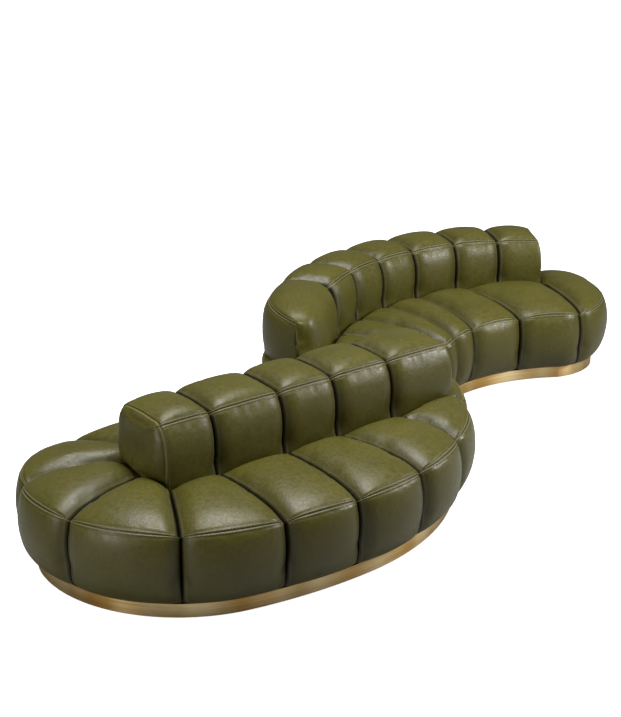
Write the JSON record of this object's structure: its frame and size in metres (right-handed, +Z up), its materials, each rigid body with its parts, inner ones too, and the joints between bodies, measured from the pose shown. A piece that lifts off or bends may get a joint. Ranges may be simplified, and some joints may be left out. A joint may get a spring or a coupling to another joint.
{
  "type": "curved channel-tufted sofa",
  "caption": "Serpentine island sofa with channel-tufted leather seats, a straight and a curved backrest, and a recessed brass-clad plinth.",
  "frame": {"origin": "centre of the whole sofa's box in plan, on the floor under the glides", "axes": "+X along the straight front backrest towards the curved rear section, -Y the way the front seat faces, +Z up"},
  "size_m": [3.9168, 2.0514, 0.668],
  "materials": {
    "leather": "semi-gloss, fine grain",
    "brass": "brushed satin",
    "plywood": "raw",
    "lining": "non-woven, matt",
    "glide": "matt",
    "fastener": "zinc plated"
  },
  "bodies": {
    "root": {"front_back_block_1": "leather", "front_back_block_2": "leather", "front_back_block_3": "leather", "front_back_block_4": "leather", "front_back_block_5": "leather", "front_back_cleat": "plywood", "front_back_panel": "plywood", "front_base_board": "plywood", "front_deck": "plywood", "front_dust_cover": "lining", "front_facing": "plywood", "front_glides": "glide", "front_joint_board": "plywood", "front_plinth_fascia": "brass", "front_plinth_ribs": "plywood", "front_ribs": "plywood", "front_seat_channel_01": "leather", "front_seat_channel_02": "leather", "front_seat_channel_03": "leather", "front_seat_channel_04": "leather", "front_seat_channel_05": "leather", "front_seat_channel_06": "leather", "front_seat_channel_07": "leather", "front_seat_channel_08": "leather", "front_seat_channel_09": "leather", "front_seat_channel_10": "leather", "front_seat_channel_11": "leather", "front_seat_channel_12": "leather", "front_seat_channel_13": "leather", "joint_bolts": "fastener", "joint_nuts": "fastener", "rear_back_block_1": "leather", "rear_back_block_2": "leather", "rear_back_block_3": "leather", "rear_back_block_4": "leather", "rear_back_block_5": "leather", "rear_back_block_6": "leather", "rear_back_block_7": "leather", "rear_back_cleat": "plywood", "rear_back_panel": "plywood", "rear_base_board": "plywood", "rear_deck": "plywood", "rear_dust_cover": "lining", "rear_facing": "plywood", "rear_glides": "glide", "rear_joint_board": "plywood", "rear_plinth_fascia": "brass", "rear_plinth_ribs": "plywood", "rear_ribs": "plywood", "rear_seat_channel_1": "leather", "rear_seat_channel_2": "leather", "rear_seat_channel_3": "leather", "rear_seat_channel_4": "leather", "rear_seat_channel_5": "leather", "rear_seat_channel_6": "leather", "rear_seat_channel_7": "leather"}
  },
  "joints": []
}
